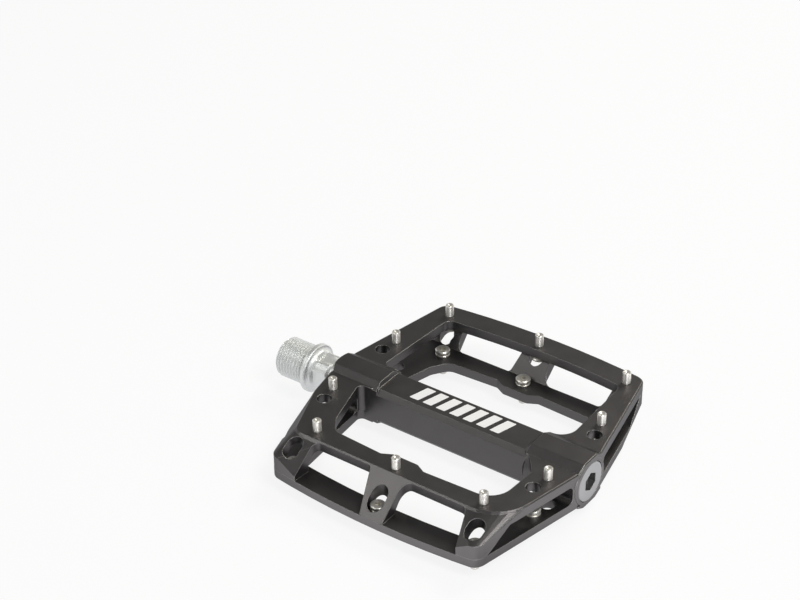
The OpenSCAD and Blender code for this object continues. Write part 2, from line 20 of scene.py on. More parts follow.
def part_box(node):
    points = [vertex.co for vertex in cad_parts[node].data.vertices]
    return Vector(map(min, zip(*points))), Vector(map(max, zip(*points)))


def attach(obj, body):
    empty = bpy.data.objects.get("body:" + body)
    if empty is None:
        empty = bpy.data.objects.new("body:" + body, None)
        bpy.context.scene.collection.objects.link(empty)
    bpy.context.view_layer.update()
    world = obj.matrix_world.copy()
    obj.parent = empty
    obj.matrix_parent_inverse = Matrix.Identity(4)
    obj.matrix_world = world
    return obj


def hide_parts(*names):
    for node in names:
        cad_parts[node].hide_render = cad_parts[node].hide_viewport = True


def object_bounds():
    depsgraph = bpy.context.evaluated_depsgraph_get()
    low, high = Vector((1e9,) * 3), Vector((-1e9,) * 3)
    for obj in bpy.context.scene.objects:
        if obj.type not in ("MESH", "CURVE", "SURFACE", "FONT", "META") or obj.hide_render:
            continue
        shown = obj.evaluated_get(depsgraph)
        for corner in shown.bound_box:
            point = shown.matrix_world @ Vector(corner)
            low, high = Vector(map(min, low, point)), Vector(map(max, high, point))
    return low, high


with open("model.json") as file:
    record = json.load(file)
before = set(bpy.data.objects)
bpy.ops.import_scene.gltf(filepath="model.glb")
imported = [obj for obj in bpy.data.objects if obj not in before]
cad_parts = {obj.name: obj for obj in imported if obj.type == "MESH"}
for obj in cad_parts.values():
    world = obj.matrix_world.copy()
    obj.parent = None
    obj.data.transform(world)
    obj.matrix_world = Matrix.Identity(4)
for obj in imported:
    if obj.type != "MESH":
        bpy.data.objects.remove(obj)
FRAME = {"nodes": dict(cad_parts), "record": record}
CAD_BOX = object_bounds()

LOG = logging.getLogger("pedal")
MM = 0.001
INCH = 25.4
TURN = 2.0 * math.pi

# The cosine of the lean of a rounded normal where an edge's colour starts to show, and where it shows in
# full.
EDGE_STARTS = 0.985
EDGE_FULL = 0.85
EDGE_SAMPLES = 6

# How many finer noises are laid over a finish's clouds and over its grain.
CLOUD_DETAIL = 4.0
GRAIN_DETAIL = 2.0

# A node's input sockets, by name or number, with the value or the output socket that each one gets. A Mix
# node's sockets share their names, so they go by number: 2 and 3 are two numbers, with output 0, and 6 and 7
# are two colours, with output 2.
Sockets = dict[str | int, object]


# ------------------------------------------------------------------ helpers


def linear(hex_colour: str) -> tuple[float, float, float, float]:
    """Turns an sRGB colour into Blender's linear one, by the curve that the sRGB standard gives.

    The curve is a straight line in the darkest tones and a power of 2.4 above them.

    Args:
        hex_colour: six hex digits after a hash sign, such as "#3a3835".

    Returns:
        Linear red, green, blue and an alpha of 1.
    """
    srgb = np.array([int(hex_colour[i : i + 2], 16) / 255 for i in (1, 3, 5)])
    rgb = np.where(srgb <= 0.04045, srgb / 12.92, ((srgb + 0.055) / 1.055) ** 2.4)
    return (float(rgb[0]), float(rgb[1]), float(rgb[2]), 1.0)


def add_node(
    tree: bpy.types.NodeTree,
    kind: str,
    settings: dict[str, object] | None = None,
    inputs: Sockets | None = None,
) -> bpy.types.Node:
    """Adds a node with its settings and links.

    Args:
        tree: the node tree that gets the node.
        kind: Blender's name for the kind of node.
        settings: the node's own properties.
        inputs: for each input socket, a value or the output socket it is linked to.

    Returns:
        The new node.
    """
    node = tree.nodes.new(kind)
    for name, value in (settings or {}).items():
        setattr(node, name, value)
    for name, value in (inputs or {}).items():
        if isinstance(value, bpy.types.NodeSocket):
            tree.links.new(value, node.inputs[name])
        else:
            node.inputs[name].default_value = value
    return node


def grid_faces(rows: int, columns: int) -> np.ndarray:
    """Quads of a grid of points that closes on itself across its columns.

    Args:
        rows: how many rows of points the grid has.
        columns: how many points each row has; the last is joined to the first.

    Returns:
        An array of point numbers, four for each face. A face's normal is the step along a row crossed
        with the step to the next row.
    """
    row, column = np.meshgrid(np.arange(rows - 1), np.arange(columns), indexing="ij")
    here = row * columns
    above = (row + 1) * columns
    after = (column + 1) % columns
    corners = [here + column, here + after, above + after, above + column]
    return np.stack(corners, axis=-1).reshape(-1, 4)


def make_piece(
    name: str, points: np.ndarray, faces: np.ndarray | Sequence[Sequence[int]], smooth_below: float
) -> bpy.types.Object:
    """Puts points and faces into a mesh object at the origin.

    Args:
        name: the piece's name.
        points: an array of points in millimetres, three numbers each.
        faces: the point numbers of each face.
        smooth_below: edges flatter than this many degrees are shaded smooth.

    Returns:
        The new object, linked to the scene.
    """
    mesh = bpy.data.meshes.new(name)
    mesh.from_pydata((points.reshape(-1, 3) * MM).tolist(), [], [list(map(int, face)) for face in faces])
    mesh.validate()
    mesh.shade_smooth()
    mesh.set_sharp_from_angle(angle=math.radians(smooth_below))
    piece = bpy.data.objects.new(name, mesh)
    bpy.context.scene.collection.objects.link(piece)
    return piece


def node_box(node: str) -> tuple[np.ndarray, np.ndarray]:
    """The lowest and highest corner of a CAD node, in millimetres."""
    low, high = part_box(node)
    return np.array(low) / MM, np.array(high) / MM


def mount(name: str) -> dict[str, Any]:
    """One of the record's mounts."""
    return next(entry for entry in FRAME["record"]["mounts"] if entry["name"] == name)


def mount_height(name: str) -> float:
    """How high one of the record's mounts is, in millimetres."""
    return mount(name)["pos_m"][2] / MM


def mount_radius(name: str) -> float:
    """The radius of one of the record's mounts, in millimetres."""
    return mount(name)["dims"]["r_mm"]


def hexagon_radius(angle: np.ndarray, across_flats: float) -> np.ndarray:
    """Distance from the axis to a hex socket's wall: half its width over the cosine from the nearest flat.

    Args:
        angle: the angles round the axis, in radians.
        across_flats: the socket's width from flat to flat.

    Returns:
        The distance at each angle.
    """
    sixth = TURN / 6
    return across_flats / 2 / np.cos(angle - sixth * np.round(angle / sixth))


def thread_wave(turns: np.ndarray, crest: float, root: float) -> np.ndarray:
    """Depth of a vee thread with flat crests and roots, as a share of its full depth.

    The wave is a triangle over each turn, cut off at the crest and at the root and stretched to 0 to 1.

    Args:
        turns: how many turns lie before each point; whole numbers are crests.
        crest: the share of a turn that the flat crest takes.
        root: the share of a turn that the flat root takes.

    Returns:
        0 on the crest and 1 in the root.
    """
    triangle = 2 * np.abs(turns - np.round(turns))
    return np.clip((triangle - crest) / (1 - crest - root), 0, 1)


# ----------------------------------------------------------------- finishes


class Slot(Enum):
    """The names of the record's material slots for the body, the pins, the spindle and the marks."""

    BODY = "body_black"
    PIN = "pin_steel"
    SPINDLE = "spindle_steel"
    MARK = "mark_white"


@dataclass(frozen=True)
class Finish:
    """What every finish has: a colour and a gloss that vary a little in soft clouds, and a fine grain.

    The roughness varies by its spread to both sides. The edges are rounded by edge_round_mm and turn to
    edge_colour, where a finish has them. The glancing_tint is what a metal's reflection is multiplied by at
    a glancing angle.
    """

    name: str
    colour: str
    colour_between: str
    roughness: float
    roughness_spread: float
    metallic: float
    cloud_mm: float
    grain_mm: float
    grain_depth_mm: float
    edge_round_mm: float = 0.0
    edge_colour: str | None = None
    glancing_tint: str = "#ffffff"
    specular: float = 0.5

    def shader(self, tree: bpy.types.NodeTree, where: bpy.types.NodeSocket) -> bpy.types.Node:
        """Adds the finish's shader with the nodes that feed it.

        Args:
            tree: the material's node tree.
            where: Object coordinates, in metres.

        Returns:
            The Principled BSDF node.
        """
        cloud, grain = (
            add_node(
                tree,
                "ShaderNodeTexNoise",
                None,
                {"Vector": where, "Scale": 1 / (size_mm * MM), "Detail": detail},
            ).outputs["Fac"]
            for size_mm, detail in ((self.cloud_mm, CLOUD_DETAIL), (self.grain_mm, GRAIN_DETAIL))
        )
        colour = add_node(
            tree,
            "ShaderNodeMix",
            {"data_type": "RGBA"},
            {"Factor": cloud, 6: linear(self.colour), 7: linear(self.colour_between)},
        ).outputs[2]
        gloss = add_node(
            tree,
            "ShaderNodeMapRange",
            None,
            {
                "Value": cloud,
                "To Min": self.roughness - self.roughness_spread,
                "To Max": self.roughness + self.roughness_spread,
            },
        ).outputs["Result"]
        bump: Sockets = {"Height": grain, "Strength": 1.0, "Distance": self.grain_depth_mm * MM}
        if self.edge_round_mm > 0:
            rounded = add_node(
                tree, "ShaderNodeBevel", {"samples": EDGE_SAMPLES}, {"Radius": self.edge_round_mm * MM}
            ).outputs["Normal"]
            bump["Normal"] = rounded
            if self.edge_colour is not None:
                # On the blasted aluminium the edge colour is lighter than the body: a painted highlight along
                # its edges.
                colour = self.tinted_edges(tree, colour, rounded)
        return add_node(
            tree,
            "ShaderNodeBsdfPrincipled",
            None,
            {
                "Base Color": colour,
                "Roughness": gloss,
                "Metallic": self.metallic,
                "Specular IOR Level": self.specular,
                "Specular Tint": linear(self.glancing_tint),
                "Normal": add_node(tree, "ShaderNodeBump", None, bump).outputs["Normal"],
            },
        )

    def tinted_edges(
        self, tree: bpy.types.NodeTree, colour: bpy.types.NodeSocket, rounded: bpy.types.NodeSocket
    ) -> bpy.types.NodeSocket:
        """Colours the edges, where the rounded normal leans away from the face's own.

        Args:
            tree: the material's node tree.
            colour: the colour away from the edges.
            rounded: the normal that the rounded edges give.

        Returns:
            The colour with its edges.
        """
        face = add_node(tree, "ShaderNodeNewGeometry").outputs["True Normal"]
        lean = add_node(
            tree, "ShaderNodeVectorMath", {"operation": "DOT_PRODUCT"}, {0: rounded, 1: face}
        ).outputs["Value"]
        edge = add_node(
            tree, "ShaderNodeMapRange", None, {"Value": lean, "From Min": EDGE_STARTS, "From Max": EDGE_FULL}
        ).outputs["Result"]
        return add_node(
            tree,
            "ShaderNodeMix",
            {"data_type": "RGBA"},
            {"Factor": edge, 6: colour, 7: linear(self.edge_colour)},
        ).outputs[2]

    def material(self) -> bpy.types.Material:
        """Makes the finish's material, which reads Object coordinates alone.

        Returns:
            The material.
        """
        material = bpy.data.materials.new(self.name)
        material.use_nodes = True
        tree = material.node_tree
        tree.nodes.clear()
        where = add_node(tree, "ShaderNodeTexCoord").outputs["Object"]
        surface = self.shader(tree, where).outputs["BSDF"]
        add_node(tree, "ShaderNodeOutputMaterial", None, {"Surface": surface})
        return material


# Milled aluminium, bead blasted and dyed black in its oxide: a dark satin with a fine, even grain. Its edges
# are painted a lighter colour, a painted highlight along them. The dye takes light from a glancing reflection
# too. Blasting leaves pits of about 0.1 mm, which are drawn three to four times as wide so that they show.
ANODISED = Finish(
    name="bead_blasted_black_anodised_aluminium",
    colour="#5c5a59",
    colour_between="#646261",
    roughness=0.38,
    roughness_spread=0.04,
    metallic=0.95,
    cloud_mm=6.0,
    grain_mm=0.35,
    grain_depth_mm=0.012,
    edge_round_mm=0.35,
    # A lighter colour on the edges: a painted highlight along them.
    edge_colour="#8c8a86",
    glancing_tint="#d0d0d0",
)
# Turned aluminium in the same dye: smoother than the blasted body, so it mirrors more and looks lighter.
TURNED = Finish(
    name="turned_black_anodised_aluminium",
    colour="#838281",
    colour_between="#8b8a89",
    roughness=0.36,
    roughness_spread=0.04,
    metallic=0.9,
    cloud_mm=3.0,
    grain_mm=0.4,
    grain_depth_mm=0.006,
    edge_round_mm=0.2,
    edge_colour="#7a7976",
)
# Zinc plate on small steel screws: bright and a little warm, with soft highlights.
ZINC = Finish(
    name="bright_zinc_plated_steel",
    colour="#dbd8cf",
    colour_between="#e6e3db",
    roughness=0.36,
    roughness_spread=0.05,
    metallic=0.85,
    cloud_mm=1.2,
    grain_mm=0.5,
    grain_depth_mm=0.004,
)
# Satin plate on forged and turned chromoly steel: pale grey, with wide highlights and a grain that hardly
# shows.
SATIN_PLATE = Finish(
    name="satin_plated_chromoly_steel",
    colour="#dfe1de",
    colour_between="#e9ebe8",
    roughness=0.48,
    roughness_spread=0.05,
    metallic=0.88,
    cloud_mm=4.0,
    grain_mm=0.5,
    grain_depth_mm=0.003,
)
# Ground bearing steel: a neutral near mirror.
GROUND = Finish(
    name="ground_bearing_steel",
    colour="#c9cbcd",
    colour_between="#d3d5d7",
    roughness=0.14,
    roughness_spread=0.03,
    metallic=1.0,
    cloud_mm=2.0,
    grain_mm=0.4,
    grain_depth_mm=0.001,
)
# Pressed and turned steel left bare: mid grey with a soft sheen.
PLAIN_STEEL = Finish(
    name="plain_pressed_steel",
    colour="#a9abad",
    colour_between="#b7b9bb",
    roughness=0.34,
    roughness_spread=0.06,
    metallic=1.0,
    cloud_mm=2.0,
    grain_mm=0.4,
    grain_depth_mm=0.003,
)
# Rolled brass sheet, pressed into ball cages: yellow and fairly bright.
BRASS = Finish(
    name="pressed_brass_sheet",
    colour="#c7a45a",
    colour_between="#d2b06a",
    roughness=0.28,
    roughness_spread=0.05,
    metallic=1.0,
    cloud_mm=1.5,
    grain_mm=0.4,
    grain_depth_mm=0.002,
)
# Sintered bronze: porous, so its gloss is dull and its grain deep.
BRONZE = Finish(
    name="sintered_bronze",
    colour="#9a7544",
    colour_between="#a98350",
    roughness=0.48,
    roughness_spread=0.08,
    metallic=1.0,
    cloud_mm=1.0,
    grain_mm=0.25,
    grain_depth_mm=0.01,
)
# Moulded nitrile rubber: near black and matt.
RUBBER = Finish(
    name="moulded_nitrile_rubber",
    colour="#1c1c1c",
    colour_between="#222222",
    roughness=0.72,
    roughness_spread=0.05,
    metallic=0.0,
    cloud_mm=2.0,
    grain_mm=0.3,
    grain_depth_mm=0.004,
    specular=0.35,
)
# Thin white pad-printed ink: dense, even and matt.
INK = Finish(
    name="white_pad_print_ink",
    colour="#f2f1ee",
    colour_between="#fbfaf8",
    roughness=0.55,
    roughness_spread=0.04,
    metallic=0.0,
    cloud_mm=5.0,
    grain_mm=0.3,
    grain_depth_mm=0.002,
)

NODE_FINISH: dict[str, Finish] = {
    "platform_body": ANODISED,
    "end_cap": TURNED,
    "inboard_seal": RUBBER,
    "end_cap_o_ring": RUBBER,
    "inboard_bush": BRONZE,
    "inner_bearing_outer_race": GROUND,
    "outer_bearing_outer_race": GROUND,
    "inner_bearing_inner_race": GROUND,
    "outer_bearing_inner_race": GROUND,
    "inner_bearing_balls": GROUND,
    "outer_bearing_balls": GROUND,
    "inner_bearing_shields": PLAIN_STEEL,
    "outer_bearing_shields": PLAIN_STEEL,
    "inner_bearing_cage": BRASS,
    "outer_bearing_cage": BRASS,
    "lock_washer": PLAIN_STEEL,
    "lock_nut": PLAIN_STEEL,
}


class Wardrobe:
    """Makes each finish's material once and dresses pieces and CAD nodes in it."""

    def __init__(self) -> None:
        """Starts with no material made."""
        self.made: dict[str, bpy.types.Material] = {}

    def dress(self, piece: bpy.types.Object, finish: Finish) -> None:
        """Gives a piece one finish all over.

        Args:
            piece: the object to dress.
            finish: what it is finished in.
        """
        if finish.name not in self.made:
            self.made[finish.name] = finish.material()
        piece.data.materials.clear()
        piece.data.materials.append(self.made[finish.name])

    def dress_nodes(self) -> None:
        """Dresses every CAD node that shows as it is."""
        for node, finish in NODE_FINISH.items():
            self.dress(FRAME["nodes"][node], finish)
            LOG.info("dressed %s in %s", node, finish.name)


# ------------------------------------------------------------------ spindle


@dataclass
class Spindle:
    """The steel spindle: crank thread, flange, wrench section, journals and nut thread, with a hex socket.

    A field whose name ends in _x, _x0 or _x1 is a place along the spindle, from the flange's seat. The crest
    and the root are shares of the thread's pitch.
    """

    wardrobe: Wardrobe
    pitch: float = INCH / 20
    thread_depth: float = 0.7
    thread_crest: float = 0.14
    thread_root: float = 0.2
    thread_lead: float = 1.1
    thread_relief: float = 1.0
    thread_run_out: float = 0.4
    seat_gap: float = 0.001
    socket_af: float = 6.0
    socket_depth: float = 8.0
    flange_t: float = 1.7
    flange_edge: float = 0.35
    shoulder_x1: float = 4.9
    flats_x0: float = 3.2
    wrench_r: float = 6.5
    wrench_af: float = 11.4
    wrench_x1: float = 9.4
    wrench_edge: float = 0.8
    seal_journal_r: float = 5.8
    bush_journal_r: float = 5.0
    bush_journal_x: tuple[float, float] = (14.1, 27.9)
    shank_r: float = 4.5
    shank_x0: float = 57.4
    bearing_journal_r: float = 4.0
    bearing_x: tuple[float, float] = (93.5, 101.5)
    nut_thread_r: float = 3.5
    nut_thread_edge: float = 0.4
    shoulder_steps: int = 8
    columns: int = 160
    rings_per_turn: int = 16

    def shoulder(self, x0: float, r0: float) -> list[tuple[float, float]]:
        """The hollow shoulder behind the flange: a quarter of an ellipse that sinks from the flange's rim.

        Args:
            x0: where the shoulder starts along the spindle.
            r0: its radius there.

        Returns:
            Pairs of distance along the spindle and radius, down to the wrench section.
        """
        part = np.linspace(0, TURN / 4, self.shoulder_steps)[1:]
        x = x0 + (self.shoulder_x1 - x0) * (1 - np.cos(part))
        r = r0 - (r0 - self.wrench_r) * np.sin(part)
        return list(zip(x.tolist(), r.tolist()))

    def plain_rings(self, flange_r: float, x1: float) -> list[tuple[float, float]]:
        """The profile outboard of the crank thread.

        Args:
            flange_r: the flange's radius.
            x1: where the spindle ends.

        Returns:
            Pairs of distance along the spindle and radius, from the seat to the outboard end's edge.
        """
        edge = self.flange_edge
        return [
            (0.0, flange_r - edge),
            (edge / 2, flange_r),
            (self.flange_t - edge, flange_r),
            (self.flange_t, flange_r - edge),
            *self.shoulder(self.flange_t, flange_r - edge),
            (self.wrench_x1 - self.wrench_edge, self.wrench_r),
            (self.wrench_x1, self.wrench_r - self.wrench_edge),
            (self.wrench_x1, self.seal_journal_r),
            (self.bush_journal_x[0], self.seal_journal_r),
            (self.bush_journal_x[0], self.bush_journal_r),
            (self.bush_journal_x[1], self.bush_journal_r),
            (self.shank_x0, self.shank_r),
            (self.bearing_x[0], self.shank_r),
            (self.bearing_x[0], self.bearing_journal_r),
            (self.bearing_x[1], self.bearing_journal_r),
            (self.bearing_x[1], self.nut_thread_r),
            (x1 - self.nut_thread_edge, self.nut_thread_r),
            (x1, self.nut_thread_r - self.nut_thread_edge),
        ]

    def thread_rings(self, angle: np.ndarray, x0: float) -> tuple[np.ndarray, np.ndarray]:
        """The crank thread's rings, whose radius sinks by the thread's wave.

        The wave moves along the spindle by one pitch for each turn. The rings taper towards the end of the
        spindle, and the crests sink into a plain relief beside the seat.

        Args:
            angle: the angles round the axis, in radians.
            x0: where the spindle starts.

        Returns:
            Each ring's distance along the spindle, and the radius at each of its angles.
        """
        major = mount_radius("crank_thread")
        x = np.linspace(x0, -self.seat_gap, int(-x0 / self.pitch * self.rings_per_turn))
        taper = np.clip(1 - (x - x0) / self.thread_lead, 0, 1) * self.thread_lead
        wave = thread_wave(x[:, None] / self.pitch - angle / TURN, self.thread_crest, self.thread_root)
        run_out = np.clip((-self.thread_relief - x) / self.thread_run_out, 0, 1)
        depth = self.thread_depth * (1 - (1 - wave) * run_out[:, None])
        return x, np.minimum(major - depth, (major - taper)[:, None])

    def surface(self) -> np.ndarray:
        """The spindle's surface as one closed sweep of rings, from the socket's floor to the outboard end.

        A ring is a circle about the spindle's axis, apart from the socket's, which are hexagons, the
        thread's, which follow its wave, and the wrench section's, which are cut off at its four flats.

        Returns:
            Points in millimetres, as rings by columns by three.
        """
        low, high = node_box("spindle")
        x0, x1 = float(low[0]), float(high[0])
        angle = np.linspace(0, TURN, self.columns, endpoint=False)
        hexagon = hexagon_radius(angle, self.socket_af)
        socket_x = np.array([x0 + self.socket_depth, x0 + self.socket_depth, x0])
        socket_r = np.array([np.zeros_like(angle), hexagon, hexagon])
        thread_x, thread_r = self.thread_rings(angle, x0)
        plain = np.array(self.plain_rings(float(high[1]), x1))
        plain_r = np.repeat(plain[:, 1:], self.columns, axis=1)

        x = np.concatenate([socket_x, thread_x, plain[:, 0], [x1]])[:, None]
        r = np.concatenate([socket_r, thread_r, plain_r, np.zeros((1, self.columns))])
        flat = (x > self.flats_x0) & (x <= self.wrench_x1)
        half = self.wrench_af / 2
        y, z = (np.where(flat, np.clip(v, -half, half), v) for v in (r * np.cos(angle), r * np.sin(angle)))
        return np.stack([np.broadcast_to(x, y.shape), y, z], axis=-1)

    def build(self) -> bpy.types.Object:
        """Makes the spindle in place of the CAD node's plain one.

        Returns:
            The spindle.
        """
        points = self.surface()
        piece = make_piece("threaded_spindle", points, grid_faces(*points.shape[:2]), smooth_below=28)
        self.wardrobe.dress(piece, SATIN_PLATE)
        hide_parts("spindle")
        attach(piece, "spindle")
        return piece


# ------------------------------------------------------------ traction pins


@dataclass
class TractionPins:
    """The steel pins of one tread: a threaded shank through the tread and a socket head inside it.

    The crest and the root are shares of the thread's pitch. The waist is where the head's groove lies, as
    shares of the head's height. The reach is how far apart a pin's own vertices can be, seen from above, in
    radii of its head. The thread has an M3 screw's pitch and is a quarter as deep as a real one.
    """

    wardrobe: Wardrobe
    node: str
    pitch: float = 0.5
    thread_depth: float = 0.08
    thread_crest: float = 0.15
    thread_root: float = 0.15
    shank_r: float = 1.5
    tip_edge: float = 0.3
    cup_r: float = 0.7
    cup_depth: float = 0.4
    head_r: float = 2.6
    head_h: float = 2.3
    head_edge: float = 0.3
    waist: tuple[float, float] = (0.5, 0.75)
    socket_af: float = 2.0
    socket_depth: float = 1.6
    reach: float = 2.2
    columns: int = 24
    rings_per_turn: int = 6

    def places(self) -> list[tuple[float, float]]:
        """Where the node's pins stand: the middle of each of its separate solids, seen from above.

        Each pass takes the pin that the first vertex left belongs to, which is every vertex within the reach
        of that one.

        Returns:
            The x and y of each pin, in millimetres.
        """
        mesh = FRAME["nodes"][self.node].data
        flat = np.zeros(len(mesh.vertices) * 3, np.float32)
        mesh.vertices.foreach_get("co", flat)
        left = flat.reshape(-1, 3)[:, :2] / MM
        found = []
        while len(left):
            near = np.linalg.norm(left - left[0], axis=1) < self.reach * self.head_r
            pin = left[near]
            middle = (pin.min(axis=0) + pin.max(axis=0)) / 2
            found.append((float(middle[0]), float(middle[1])))
            left = left[~near]
        return found

    def head_rings(self) -> list[tuple[float, float]]:
        """The head's profile, from its top past its groove to its underside.

        The groove is as deep as the underside's chamfer is wide. The top and the groove's upper edge have
        chamfers a third of that.

        Returns:
            Pairs of height above the underside and radius.
        """
        edge = self.head_edge
        groove_low, groove_high = (share * self.head_h for share in self.waist)
        return [
            (self.head_h, self.shank_r),
            (self.head_h, self.head_r - edge / 3),
            (self.head_h - edge / 3, self.head_r),
            (groove_high + edge / 3, self.head_r),
            (groove_high, self.head_r - edge / 3),
            (groove_high, self.head_r - edge),
            (groove_low, self.head_r - edge),
            (groove_low - edge, self.head_r),
            (edge, self.head_r),
            (0.0, self.head_r - edge),
        ]

    def surface(self, length: float) -> np.ndarray:
        """One pin that stands up from its head's underside at height 0.

        The sweep runs from the cup in the tip down the thread, round the head and into its hex socket. The
        thread's radius sinks by its wave, which moves along the pin by one pitch for each turn.

        Args:
            length: from the head's underside to the tip.

        Returns:
            Points in millimetres, as rings by columns by three.
        """
        angle = np.linspace(0, TURN, self.columns, endpoint=False)
        hexagon = hexagon_radius(angle, self.socket_af)

        def circle(r: float) -> np.ndarray:
            """A ring of one radius."""
            return np.full_like(angle, r)

        rings = int((length - self.head_h) / self.pitch * self.rings_per_turn)
        thread_z = np.linspace(length, self.head_h, rings)
        wave = thread_wave(thread_z[:, None] / self.pitch - angle / TURN, self.thread_crest, self.thread_root)
        taper = np.clip(self.tip_edge - (length - thread_z), 0, self.tip_edge)
        thread_r = np.minimum(self.shank_r - self.thread_depth * wave, (self.shank_r - taper)[:, None])
        head = self.head_rings()
        z = [length - self.cup_depth, length, *thread_z, *(height for height, _ in head)]
        z += [0.0, self.socket_depth, self.socket_depth]
        r = [circle(0), circle(self.cup_r), *thread_r, *(circle(radius) for _, radius in head)]
        r += [hexagon, hexagon, circle(0)]
        radius = np.array(r)
        height = np.broadcast_to(np.array(z)[:, None], radius.shape)
        return np.stack([radius * np.cos(-angle), radius * np.sin(-angle), height], axis=-1)

    def build(self) -> bpy.types.Object:
        """Makes the tread's pins in place of the CAD node's plain ones.

        Returns:
            The pins as one piece.
        """
        low, high = node_box(self.node)
        up = 1.0 if high[2] > -low[2] else -1.0
        base, tip = (low[2], high[2]) if up > 0 else (high[2], low[2])
        one = self.surface(abs(float(tip - base)))
        faces = grid_faces(*one.shape[:2])
        stood = one.reshape(-1, 3) * (1.0, up, up)
        places = self.places()
        points = np.concatenate([stood + (x, y, base) for x, y in places])
        joined = np.concatenate([faces + i * len(stood) for i in range(len(places))])
        piece = make_piece(f"threaded_{self.node}", points, joined, smooth_below=40)
        self.wardrobe.dress(piece, ZINC)
        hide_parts(self.node)
        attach(piece, "platform")
        return piece


# ------------------------------------------------------------ housing ridges


@dataclass
class HousingRidges:
    """The flat-topped ridges over the bearing housing, one on each tread, fitted over its round hump.

    The section is given at four stations along the spindle: the foot and the head of the inboard ramp, and
    both sides of the outboard edge's chamfer. The foot lies just under the tread and the root inside the
    body.
    """

    wardrobe: Wardrobe
    station_x: tuple[float, ...] = (89.6, 91.4, 111.05, 111.45)
    top_z: tuple[float, ...] = (6.95, 8.75, 8.75, 8.35)
    flat_y: tuple[float, ...] = (3.0, 3.6, 3.6, 3.3)
    foot_y: tuple[float, ...] = (5.3, 6.95, 6.95, 6.6)
    foot_z: float = 6.9
    root_z: float = 6.2

    def surface(self, turn: float) -> np.ndarray:
        """One ridge as a closed sweep along the spindle.

        Each ring is a section of six corners: the two feet, the two edges of the flat top and the two
        corners of the root, which lies inside the body. A ring of no size closes each end.

        Args:
            turn: 1 for the top tread and -1 for the bottom one, half a turn round the spindle.

        Returns:
            Points in millimetres, as rings by corners by three.
        """
        x, top, flat, foot = (np.array(v) for v in (self.station_x, self.top_z, self.flat_y, self.foot_y))
        level = np.full_like(x, self.foot_z)
        root = np.full_like(x, self.root_z)
        y = np.stack([-foot, -flat, flat, foot, foot, -foot], axis=-1)
        z = np.stack([level, top, top, level, root, root], axis=-1)
        rings = np.stack([np.broadcast_to(x[:, None], y.shape), turn * y, turn * z], axis=-1)
        ends = [np.broadcast_to(ring.mean(axis=0), ring.shape)[None] for ring in (rings[0], rings[-1])]
        return np.concatenate([ends[0], rings, ends[1]])

    def build(self) -> bpy.types.Object:
        """Makes both ridges.

        Returns:
            The ridges as one piece.
        """
        sweeps = [self.surface(turn) for turn in (1.0, -1.0)]
        faces = grid_faces(*sweeps[0].shape[:2])
        count = sweeps[0].shape[0] * sweeps[0].shape[1]
        points = np.concatenate([sweep.reshape(-1, 3) for sweep in sweeps])
        piece = make_piece("housing_ridges", points, np.concatenate([faces, faces + count]), smooth_below=20)
        self.wardrobe.dress(piece, ANODISED)
        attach(piece, "platform")
        return piece


# ---------------------------------------------------------------- deck bars


@dataclass
class DeckBars:
    """Plain slanted bars printed in white on both flats of the hub beam.

    The row fills x0 to x1 and y0 to y1. ink_share is the share of each step that is printed, and lean is how
    far a bar's top stands over from its foot.
    """

    wardrobe: Wardrobe
    x0: float = 42.6
    x1: float = 80.4
    y0: float = -3.4
    y1: float = 4.2
    count: int = 7
    ink_share: float = 0.66
    lean: float = 2.2
    corner_r: float = 0.35
    ink_t: float = 0.02
    corner_steps: int = 5

    def outline(self, left: float, right: float) -> np.ndarray:
        """One bar's outline: a parallelogram whose corners are arcs.

        Each corner's arc is a quarter turn of points about a centre that stands in from the corner.

        Args:
            left: where the bar's lower edge starts.
            right: where it ends.

        Returns:
            Points round the outline, in millimetres.
        """
        r = self.corner_r
        quarter = TURN / 4
        x = np.array([right - r, left + r, left + r, right - r])[:, None]
        y = np.array([self.y1 - r, self.y1 - r, self.y0 + r, self.y0 + r])[:, None]
        angle = np.linspace(0, quarter, self.corner_steps) + quarter * np.arange(4)[:, None]
        points = np.stack([x + r * np.cos(angle), y + r * np.sin(angle)], axis=-1).reshape(-1, 2)
        points[:, 0] += self.lean * (points[:, 1] - self.y0) / (self.y1 - self.y0)
        return points

    def plates(self, height: float, up: float) -> tuple[np.ndarray, list[list[int]]]:
        """All the bars on one face, as closed plates of ink.

        Args:
            height: where the face is.
            up: 1 for the top face and -1 for the bottom one.

        Returns:
            Points in millimetres, and the faces.
        """
        points: list[np.ndarray] = []
        faces: list[list[int]] = []
        step = (self.x1 - self.x0 - self.lean) / (self.count - 1 + self.ink_share)
        for i in range(self.count):
            left = self.x0 + i * step
            outline = self.outline(left, left + step * self.ink_share)
            n = len(outline)
            for level in (height, height + up * self.ink_t):
                points.append(np.column_stack([outline[:, 0], up * outline[:, 1], np.full(n, level)]))
            lower = 2 * i * n + np.arange(n)
            after = 2 * i * n + (np.arange(n) + 1) % n
            faces += np.stack([lower, after, n + after, n + lower], axis=-1).tolist()
            faces += [(n + lower).tolist(), lower[::-1].tolist()]
        return np.concatenate(points), faces

    def build(self) -> bpy.types.Object:
        """Makes the bars of both faces.

        Returns:
            The bars as one piece.
        """
        top, top_faces = self.plates(mount_height("tread_top"), 1.0)
        bottom, bottom_faces = self.plates(mount_height("tread_bottom"), -1.0)
        faces = top_faces + [[i + len(top) for i in face] for face in bottom_faces]
        piece = make_piece("deck_bars", np.concatenate([top, bottom]), faces, smooth_below=30)
        self.wardrobe.dress(piece, INK)
        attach(piece, "platform")
        return piece


# ------------------------------------------------------------------- studio


